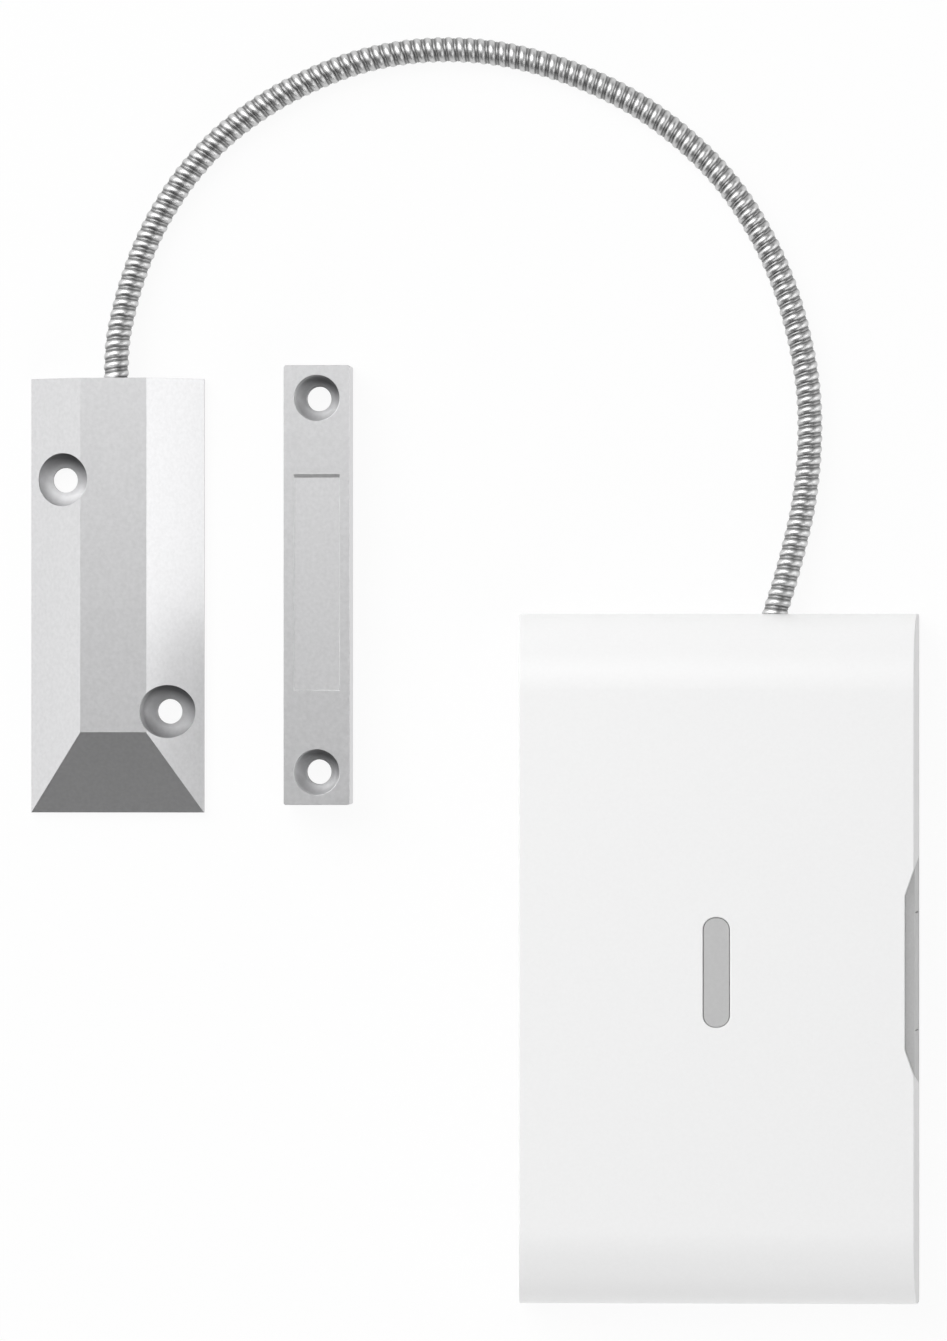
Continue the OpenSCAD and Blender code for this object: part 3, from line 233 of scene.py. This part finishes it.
conduit = new_piece("conduit_armour", *wound_strip())
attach(conduit, "switch_set")
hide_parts("armoured_conduit")

# %% [markdown]
# ## Signal cable
# A round two-core cable runs inside the conduit and a little past both of its ends, into the contact
# and into the transmitter. It is a plain tube: rings of points along the same route, with both ends
# drawn in to a point at the middle so that the tube is closed.

# %% Cable
INTO_CONTACT, INTO_CASE = 0.010, 0.0055
CABLE_ROUTE = np.vstack([ROUTE[0] - [0, INTO_CONTACT, 0], ROUTE, ROUTE[-1] - [0, INTO_CASE, 0]])
CABLE_LINE = curve_through(CABLE_ROUTE, steps=12)
CABLE_D = 0.003


def plain_tube(line, radius, rings, sides):
    """Point = centre + radius x (cos angle x sideways + sin angle x upward); the first and last rings
    have no radius, which closes the ends."""
    lengths = running_length(line)
    at = np.concatenate([[0], np.linspace(0, lengths[-1], rings), [lengths[-1]]])
    size = np.concatenate([[0], np.full(rings, radius), [0]])[:, None, None]
    centre, side, up = (v[:, None] for v in frames_along(line, lengths, at))
    angle = np.linspace(0, 2 * np.pi, sides + 1)[None, :, None]
    points = centre + size * (np.cos(angle) * side + np.sin(angle) * up)
    return points.reshape(-1, 3), grid_faces(rings + 2, sides + 1)


cable = new_piece("cable_sheath", *plain_tube(CABLE_LINE, CABLE_D / 2, rings=180, sides=16))
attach(cable, "switch_set")
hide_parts("signal_cable")

# %% [markdown]
# ## Softened edges
# No cast or moulded edge is perfectly sharp, and a narrow round along it catches a line of light. The
# three housings are copied from their solids. A copy's loose triangles are merged, flat neighbours are
# joined into one face, and the Bevel modifier rounds what is left. The solids stay for the physics.

# %% Copies with rounded edges
def softened(name, node, width, segments=2, angle=28):
    """A merged copy of a solid whose edges, where the faces turn by more than the angle, get a round."""
    mesh = NODES[node].data.copy()
    mesh.name = name
    clean = bmesh.new()
    clean.from_mesh(mesh)
    bmesh.ops.remove_doubles(clean, verts=clean.verts, dist=2e-6)
    bmesh.ops.dissolve_limit(clean, angle_limit=np.radians(0.6), verts=clean.verts, edges=clean.edges)
    clean.to_mesh(mesh)
    clean.free()
    mesh.polygons.foreach_set("use_smooth", np.ones(len(mesh.polygons), bool))
    mesh.set_sharp_from_angle(angle=np.radians(angle))
    piece = bpy.data.objects.new(name, mesh)
    bpy.context.scene.collection.objects.link(piece)
    bevel = piece.modifiers.new("round", "BEVEL")
    bevel.width, bevel.segments = width, segments
    bevel.limit_method, bevel.angle_limit = "ANGLE", np.radians(angle)
    weigh = piece.modifiers.new("flat faces lead", "WEIGHTED_NORMAL")
    weigh.mode, weigh.weight, weigh.keep_sharp = "FACE_AREA", 100, True
    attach(piece, NODES[node]["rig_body"])
    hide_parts(node)
    print(name, len(mesh.polygons), "faces before the round")
    return piece


contact_casting = softened("contact_casting", "contact_housing", width=0.00025)
magnet_casting = softened("magnet_casting", "magnet_housing", width=0.00020)
cover_shell = softened("cover_shell", "front_cover", width=0.00025)

# %% [markdown]
# ## Tools for finishes
# A finish is a small network of shader nodes. One function adds a node with its settings and links,
# another turns a colour as it is written on a screen into the linear numbers that the shader wants.

# %% Finish tools
def linear(code):
    """Linear red, green and blue of an sRGB hex colour: c / 12.92 up to 0.04045, and past that
    ((c + 0.055) / 1.055) to the power 2.4."""
    c = np.array([int(code[i:i + 2], 16) for i in (0, 2, 4)]) / 255
    return (*np.where(c <= 0.04045, c / 12.92, ((c + 0.055) / 1.055) ** 2.4), 1.0)


def add(tree, kind, links=None, **settings):
    """Adds one node. settings are its properties; links gives each input a value or another node's
    output."""
    made = tree.nodes.new(kind)
    for name, value in settings.items():
        setattr(made, name, value)
    for socket, source in (links or {}).items():
        if isinstance(source, bpy.types.NodeSocket):
            tree.links.new(source, made.inputs[socket])
        else:
            made.inputs[socket].default_value = source
    return made


def ramp(tree, fac, stops):
    """A colour ramp: stops are (position, hex colour) pairs."""
    made = add(tree, "ShaderNodeValToRGB", {"Fac": fac})
    while len(made.color_ramp.elements) < len(stops):
        made.color_ramp.elements.new(0.5)
    for element, (position, code) in zip(made.color_ramp.elements, stops):
        element.position, element.color = position, linear(code)
    return made.outputs["Color"]


def finish(name, **sockets):
    """A new material and its tree and main shader, with the shader's own sockets set."""
    made = bpy.data.materials.new(name)
    made.use_nodes = True
    shader = made.node_tree.nodes["Principled BSDF"]
    for socket, value in sockets.items():
        shader.inputs[socket.replace("_", " ")].default_value = value
    return made, made.node_tree, shader


def grained(tree, shader, grain_mm, depth_mm, shades, rough):
    """Colour, roughness and relief that vary together over grains of a given size: noise on the
    piece's own coordinates feeds a ramp of shades, a range of roughness and a bump. It returns the
    coordinates."""
    where = add(tree, "ShaderNodeTexCoord").outputs["Object"]
    fac = add(tree, "ShaderNodeTexNoise",
              {"Vector": where, "Scale": 1000 / grain_mm, "Detail": 3.0}).outputs["Fac"]
    tree.links.new(ramp(tree, fac, shades), shader.inputs["Base Color"])
    spread = add(tree, "ShaderNodeMapRange", {"Value": fac, "To Min": rough[0], "To Max": rough[1]})
    tree.links.new(spread.outputs["Result"], shader.inputs["Roughness"])
    bump = add(tree, "ShaderNodeBump", {"Height": fac, "Strength": 1.0, "Distance": depth_mm / 1000})
    tree.links.new(bump.outputs["Normal"], shader.inputs["Normal"])
    return where


def lay_over(tree, shader, share, colour, blend="MIX"):
    """Lays a second colour over the shader's base colour, by a share from 0 to 1."""
    base = shader.inputs["Base Color"]
    both = add(tree, "ShaderNodeMix", {"Factor": share, "A": base.links[0].from_socket, "B": colour},
               data_type="RGBA", blend_type=blend)
    tree.links.new(both.outputs["Result"], base)


# %% [markdown]
# ## Silver paint on die-cast metal
# The contact and the magnet are cast in zinc alloy or aluminium and sprayed with silver paint. The
# paint's flakes make it act like a satin metal: each slope mirrors, very softly, one part of the room.
# That is why the wedge, which faces away from the lamps, looks dark. The casting's grain of about
# 0.3 mm is finer than a pixel, so it is drawn at 0.9 mm. Inside a screw seat the spray arrives thin and
# dry, so the coat is duller there. The photograph shows each seat dark on the wall that faces down the
# picture and light below. These lamps give less of that, so painted shade darkens the coat on such a
# wall.

# %% Silver paint
silver, tree, shader = finish("silver_paint_on_die_casting", Metallic=0.9)
grained(tree, shader, 0.9, 0.010, [(0.3, "C6C6C7"), (0.7, "CECECF")], (0.28, 0.36))

PAINTED_LIGHT_SIDE = (0.28, 0.96, 0.0)
seat_paint_with_painted_shade, tree, shader = finish("seat_coat_with_painted_shade", Metallic=0.25)
grained(tree, shader, 0.9, 0.012, [(0.3, "D6D6D7"), (0.7, "DDDDDE")], (0.55, 0.65))
# Painted shade: the seat colour is darkened by the way a face turns, most on walls facing -Y, and kept
# pale on walls facing +Y.
normal = add(tree, "ShaderNodeNewGeometry").outputs["Normal"]
upward = add(tree, "ShaderNodeVectorMath", {0: normal, 1: PAINTED_LIGHT_SIDE}, operation="DOT_PRODUCT")
facing = add(tree, "ShaderNodeMapRange", {"Value": upward.outputs["Value"], "From Min": -1.0})
cover = ramp(tree, facing.outputs["Result"], [(0.0, "626263"), (0.22, "8C8C8D"), (0.38, "D0D0D1"),
                                              (0.60, "FFFFFF"), (1.0, "D8D8D9")])
lay_over(tree, shader, 1.0, cover, blend="MULTIPLY")

# %% [markdown]
# ## White moulded shell
# The transmitter's shell is ABS from a mould with a fine spark-eroded skin, which breaks up the
# reflection of a lamp. It is nearly white, and keeps ABS's index of 1.54.

# %% Moulded plastics
white_abs, tree, shader = finish("white_moulded_abs", IOR=1.54)
grained(tree, shader, 0.7, 0.004, [(0.3, "F4F4F4"), (0.7, "F6F6F6")], (0.34, 0.42))

grey_abs, tree, shader = finish("grey_moulded_abs", IOR=1.54)
grained(tree, shader, 0.7, 0.006, [(0.3, "C4C4C4"), (0.7, "CACACA")], (0.38, 0.48))

lens_grey, tree, shader = finish("frosted_polycarbonate_lens", IOR=1.58)
grained(tree, shader, 0.8, 0.003, [(0.3, "BEBEBE"), (0.7, "C2C2C2")], (0.28, 0.36))

ivory_nylon, tree, shader = finish("natural_nylon", IOR=1.53)
grained(tree, shader, 0.8, 0.006, [(0.3, "E2DCC8"), (0.7, "E8E2D0")], (0.40, 0.52))

black_nylon, tree, shader = finish("black_moulded_nylon", IOR=1.53)
grained(tree, shader, 0.6, 0.008, [(0.3, "161616"), (0.7, "1F1F1F")], (0.40, 0.55))

# %% [markdown]
# ## Rolled steel strip
# The conduit's strip is bright rolled steel. The hump is kept light and mirrors the lamps; the two
# lines beside the hooked edge, in the groove where the turns hook, are darkened as painted shade. The
# strip's own chart gives both: its second number is the place across the strip, and its first runs
# along it, where rolling leaves fine lines.

# %% Conduit steel
rolled_steel, tree, shader = finish("bright_rolled_steel_strip", Metallic=1.0)
chart = add(tree, "ShaderNodeUVMap", uv_map="strip").outputs["UV"]
across = add(tree, "ShaderNodeSeparateXYZ", {"Vector": chart}).outputs["Y"]
lines = add(tree, "ShaderNodeMapping", {"Vector": chart, "Scale": (6.0, 30.0, 1.0)}).outputs["Vector"]
rolling = add(tree, "ShaderNodeTexNoise", {"Vector": lines, "Scale": 1.0, "Detail": 2.0}).outputs["Fac"]
# Painted shade: darker colour in the groove where the turns hook, lighter on the hump.
painted_groove_shade = ramp(tree, across, [(0.0, "686868"), (0.12, "B0B0B0"), (0.25, "CCCCCC"), (0.55, "CCCCCC"),
                           (0.68, "686868"), (0.86, "A2A2A2"), (1.0, "686868")])
tree.links.new(painted_groove_shade, shader.inputs["Base Color"])
dull = add(tree, "ShaderNodeMapRange", {"Value": rolling, "To Min": 0.34, "To Max": 0.46})
tree.links.new(dull.outputs["Result"], shader.inputs["Roughness"])

# %% [markdown]
# ## Bright and wire metals
# Screws are zinc plated, springs are bare spring steel, battery tabs are nickel plated and the reed's
# blades are a gilt nickel-iron. They differ in tint and in how clear their reflection is.

# %% Metals
zinc_screw, tree, shader = finish("zinc_plated_screw_steel", Metallic=1.0)
grained(tree, shader, 0.6, 0.006, [(0.3, "B9BCC0"), (0.7, "CDD0D3")], (0.24, 0.38))

spring_steel, tree, shader = finish("drawn_spring_steel", Metallic=1.0)
grained(tree, shader, 0.5, 0.004, [(0.3, "9B9C9E"), (0.7, "B4B5B7")], (0.22, 0.34))

nickel_tab, tree, shader = finish("nickel_plated_strip", Metallic=1.0)
grained(tree, shader, 0.8, 0.003, [(0.3, "C3BDB2"), (0.7, "D0CBC1")], (0.20, 0.32))

gilt_wire, tree, shader = finish("gilt_nickel_iron_wire", Metallic=1.0)
grained(tree, shader, 0.6, 0.003, [(0.3, "C9A24A"), (0.7, "DDBB63")], (0.20, 0.32))

tinned_can, tree, shader = finish("tinned_steel_can", Metallic=1.0)
grained(tree, shader, 1.2, 0.004, [(0.3, "BDBDBA"), (0.7, "CFCFCB")], (0.26, 0.40))

ferrite, tree, shader = finish("ground_ferrite", Metallic=0.0, IOR=2.2)
grained(tree, shader, 0.7, 0.012, [(0.3, "2B2B2D"), (0.7, "3A3A3C")], (0.42, 0.60))

# %% [markdown]
# ## Rubber, resin, glass and sleeves
# The cable's sheath and cores are soft vinyl, the contact is potted with black epoxy, and the reed is
# sealed in green-tinted glass. The cells wear a plain shrunk sleeve with a bare steel end.

# %% Soft and clear things
grey_vinyl, tree, shader = finish("grey_vinyl_sheath", IOR=1.52)
grained(tree, shader, 0.8, 0.010, [(0.3, "BDBDBB"), (0.7, "C8C8C6")], (0.45, 0.60))

epoxy, tree, shader = finish("black_potting_epoxy", IOR=1.55)
grained(tree, shader, 2.0, 0.020, [(0.3, "0E0E0F"), (0.7, "161617")], (0.12, 0.25))

reed_glass, tree, shader = finish("green_reed_glass", IOR=1.50, Transmission_Weight=1.0)
grained(tree, shader, 3.0, 0.002, [(0.3, "CDE6CF"), (0.7, "D8EDDA")], (0.02, 0.06))

led_epoxy, tree, shader = finish("clear_diode_epoxy", IOR=1.50)
grained(tree, shader, 1.0, 0.003, [(0.3, "EFE6B0"), (0.7, "F6F0C8")], (0.12, 0.22))

cell_sleeve, tree, shader = finish("shrunk_cell_sleeve", IOR=1.52)
grained(tree, shader, 1.5, 0.008, [(0.3, "2C3A4A"), (0.7, "33445A")], (0.22, 0.34))

can_sleeve, tree, shader = finish("shrunk_capacitor_sleeve", IOR=1.52)
grained(tree, shader, 1.0, 0.006, [(0.3, "1B2350"), (0.7, "232D62")], (0.22, 0.34))

green_block, tree, shader = finish("green_polyamide", IOR=1.53)
grained(tree, shader, 0.6, 0.008, [(0.3, "2B7A4B"), (0.7, "338A57")], (0.40, 0.52))

black_package, tree, shader = finish("black_moulding_compound", IOR=1.55)
grained(tree, shader, 0.5, 0.010, [(0.3, "191919"), (0.7, "242424")], (0.45, 0.60))

# %% [markdown]
# ## Cores of the cable
# The two cores of a pair are red and black so that an installer can tell them apart. Both lie in one
# solid, side by side, so a step on the piece's own X coordinate gives each its colour.

# %% Paired cores
def paired_cores(name, split_m):
    """Red on the lower side of X = split, near-black on the other."""
    made, tree, shader = finish(name, IOR=1.52)
    where = grained(tree, shader, 0.6, 0.006, [(0.3, "9C1E18"), (0.7, "B02620")], (0.35, 0.5))
    x = add(tree, "ShaderNodeSeparateXYZ", {"Vector": where}).outputs["X"]
    beyond = add(tree, "ShaderNodeMath", {0: x, 1: split_m}, operation="GREATER_THAN").outputs[0]
    lay_over(tree, shader, beyond, linear("1C1C1E"))
    return made


contact_cores = paired_cores("vinyl_cores_in_the_contact", split_m=-0.0865)
case_cores = paired_cores("vinyl_cores_in_the_case", split_m=0.07275)
battery_cores = paired_cores("vinyl_battery_leads", split_m=0.07675)

# %% [markdown]
# ## Circuit board
# Green solder mask over woven glass. Copper tracks stand a few hundredths of a millimetre proud and
# look lighter through the mask, so a grid of rectangles at 1.27 mm, a common track spacing, lifts and
# lightens the surface.

# %% Board
TRACK_PITCH, TRACK_RUN, TRACK_GAP = 0.00127, 0.0127, 0.00016
solder_mask, tree, shader = finish("green_solder_mask", IOR=1.50)
where = grained(tree, shader, 1.0, 0.004, [(0.3, "0F5A30"), (0.7, "146839")], (0.22, 0.34))
tracks = add(tree, "ShaderNodeTexBrick", {
    "Vector": where, "Scale": 1.0, "Mortar Size": TRACK_GAP, "Brick Width": TRACK_RUN,
    "Row Height": TRACK_PITCH, "Mortar Smooth": 0.1}).outputs["Fac"]
lay_over(tree, shader, tracks, linear("2E8A52"))

# %% [markdown]
# ## Every solid gets its finish
# A solid keeps its shape, so only its material slots are filled. The two castings also get the seat
# paint, with its painted shade, on the faces round their screw axes.

# %% Hand out the finishes
FINISHES = {
    silver: ["contact_housing", "slot_cover", "magnet_housing", "magnet_back_plate"],
    white_abs: ["back_plate", "front_cover", "conduit_clamp"],
    grey_abs: ["latch_bezel", "release_latch"],
    lens_grey: ["light_bar"],
    ivory_nylon: ["reed_carrier", "contact_end_bushing", "case_end_bushing", "tamper_plunger",
                  "pairing_button"],
    black_nylon: ["battery_holder", "tamper_switch", "pairing_switch"],
    rolled_steel: ["armoured_conduit"],
    zinc_screw: ["clamp_screws", "board_screws", "holder_screws", "terminal_screws", "latch_pin"],
    spring_steel: ["latch_spring", "tamper_spring", "battery_springs"],
    nickel_tab: ["battery_tabs"],
    gilt_wire: ["reed_blade_fixed", "reed_blade_moving", "reed_lead", "antenna"],
    tinned_can: ["radio_module"],
    ferrite: ["bar_magnet"],
    grey_vinyl: ["signal_cable"],
    epoxy: ["cable_potting"],
    reed_glass: ["reed_capsule"],
    led_epoxy: ["status_leds"],
    cell_sleeve: ["battery_cell_1", "battery_cell_2"],
    can_sleeve: ["capacitors"],
    green_block: ["terminal_block"],
    black_package: ["controller_chip"],
    contact_cores: ["contact_leads"],
    case_cores: ["case_leads"],
    battery_cores: ["battery_leads"],
    solder_mask: ["main_board"],
}


def dress(piece, material):
    """The piece's only material is this one."""
    piece.data.materials.clear()
    piece.data.materials.append(material)


for material, names in FINISHES.items():
    for name in names:
        dress(NODES[name], material)
for piece, material in ((conduit, rolled_steel), (cable, grey_vinyl), (contact_casting, silver),
                        (magnet_casting, silver), (cover_shell, white_abs)):
    dress(piece, material)

# The screws' axes in the two castings, and how far a seat reaches from its axis.
CONTACT_SCREWS = [(-0.0992, 0.0855), (-0.0738, 0.0295)]
MAGNET_SCREWS = [(-0.0375, 0.1051), (-0.0375, 0.0149)]
SEAT_REACH = 0.0072


def paint_seats(casting, axes):
    """Faces whose corners all lie within the seat's reach of a screw's axis get the seat paint, with its
    painted shade.
    """
    mesh = casting.data
    mesh.materials.append(seat_paint_with_painted_shade)
    corners = np.array([v.co[:2] for v in mesh.vertices])
    near = (np.linalg.norm(corners[:, None] - np.array(axes)[None], axis=2) < SEAT_REACH).T
    for face in mesh.polygons:
        if near[:, face.vertices].all(axis=1).any():
            face.material_index = 1
    print(casting.name, sum(f.material_index for f in mesh.polygons), "seat faces")


paint_seats(contact_casting, CONTACT_SCREWS)
paint_seats(magnet_casting, MAGNET_SCREWS)
print(sum(map(len, FINISHES.values())), "of", len(NODES), "solids have a finish")

# %% [markdown]
# ## Table and paper sweep
# The photograph's ground is pure white. The table is one wide disc whose rim curls up into a low wall,
# as a photographer's paper sweep does, so that a low view also sees paper behind the set. To the camera
# and in reflections the paper mostly glows at a strength of 1, which is white; the rest is ordinary
# matt paper, and that part keeps the set's shadow.

# %% Paper sweep
BELOW_THE_SET = 0.0002
PAPER_GLOW = 0.93


def sweep(reach, curl, wall, sides=96):
    """Radius and height: flat out to reach, a quarter circle of radius curl, then straight up by
    wall, all of it a little below the set."""
    bend = np.linspace(0, np.pi / 2, 13)
    r = np.concatenate([[0, reach * 0.5], reach + curl * np.sin(bend), [reach + curl]])
    z = np.concatenate([[0, 0], curl * (1 - np.cos(bend)), [curl + wall]]) - BELOW_THE_SET
    angle = np.linspace(0, 2 * np.pi, sides + 1)
    points = np.stack([np.outer(r, np.cos(angle)), np.outer(r, np.sin(angle)),
                       np.repeat(z[:, None], sides + 1, axis=1)], axis=-1)
    return points.reshape(-1, 3), grid_faces(len(r), sides + 1)


paper = new_piece("paper_sweep", *sweep(reach=4.5, curl=0.5, wall=0.6))
white_paper, tree, shader = finish("matt_white_paper", Roughness=0.9)
grained(tree, shader, 2.0, 0.01, [(0.3, "EFEFEF"), (0.7, "F2F2F2")], (0.85, 0.95))
path = add(tree, "ShaderNodeLightPath")
seen = add(tree, "ShaderNodeMath", {0: path.outputs["Is Camera Ray"], 1: path.outputs["Is Glossy Ray"]},
           operation="MAXIMUM")
seen = add(tree, "ShaderNodeMath", {0: seen.outputs[0], 1: path.outputs["Is Transmission Ray"]},
           operation="MAXIMUM")
glow = add(tree, "ShaderNodeEmission", {"Color": (1, 1, 1, 1), "Strength": 1.0})
share = add(tree, "ShaderNodeMath", {0: seen.outputs[0], 1: PAPER_GLOW}, operation="MULTIPLY")
mixed = add(tree, "ShaderNodeMixShader",
            {0: share.outputs[0], 1: shader.outputs[0], 2: glow.outputs[0]})
tree.links.new(mixed.outputs[0], tree.nodes["Material Output"].inputs["Surface"])
dress(paper, white_paper)

# %% [markdown]
# ## Lamps
# The main lamp is a large soft box at the upper left. One beyond the top and a weak one overhead are
# what the flat metal faces mirror, so those turn paler toward the top. Two more light the shell's
# rounded ends. A card on either side shows in the paint's slopes and not on matt surfaces, as a
# sheet of paper beside a product does. The magnet was photographed apart from the contact, so it is
# left out of the reflections too. Each lamp is set so that a colour renders about as it is written.

# %% Lamps and sky
def soft_box(name, place, target, width, height, radiance, matt=True, gloss=True):
    """A rectangular lamp; its power is radiance x area x pi. It may skip matt or glossy surfaces."""
    light = bpy.data.lights.new(name, "AREA")
    light.shape, light.size, light.size_y = "RECTANGLE", width, height
    light.energy = radiance * width * height * np.pi
    lamp = bpy.data.objects.new(name, light)
    bpy.context.scene.collection.objects.link(lamp)
    lamp.location = place
    lamp.rotation_euler = (Vector(target) - Vector(place)).to_track_quat("-Z", "Y").to_euler()
    lamp.visible_camera = False
    lamp.visible_diffuse, lamp.visible_glossy = matt, gloss


SET = (0, 0.04, 0)
soft_box("upper_left", (-0.95, 0.95, 1.25), SET, 1.5, 1.5, 3.65)
soft_box("lower_right", (0.95, -0.85, 1.20), SET, 0.9, 0.9, 2.0)
soft_box("lower_fill", (0.0, -1.60, 0.60), SET, 1.2, 0.9, 2.7, gloss=False)
soft_box("beyond_the_top", (0.0, 0.75, 1.80), SET, 1.4, 1.2, 1.65)
soft_box("overhead", (-0.1, 0.0, 1.90), SET, 1.0, 0.8, 0.3)
soft_box("top_side", (0.0, 1.8, 0.95), SET, 1.6, 1.0, 0.5)
soft_box("right_card", (1.7, 0.1, 0.70), SET, 1.6, 1.3, 1.6, matt=False)
soft_box("left_card", (-1.7, 0.1, 0.55), SET, 1.2, 0.9, 1.6, matt=False)
for node in NODES.values():
    if node["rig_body"] == "magnet_unit":
        node.visible_glossy = False
magnet_casting.visible_glossy = False

sky = bpy.data.worlds.new("plain_sky")
bpy.context.scene.world = sky
sky.use_nodes = True
sky.node_tree.nodes["Background"].inputs["Color"].default_value = (1, 1, 1, 1)
sky.node_tree.nodes["Background"].inputs["Strength"].default_value = 0.1
bpy.context.scene.view_settings.view_transform = "Standard"
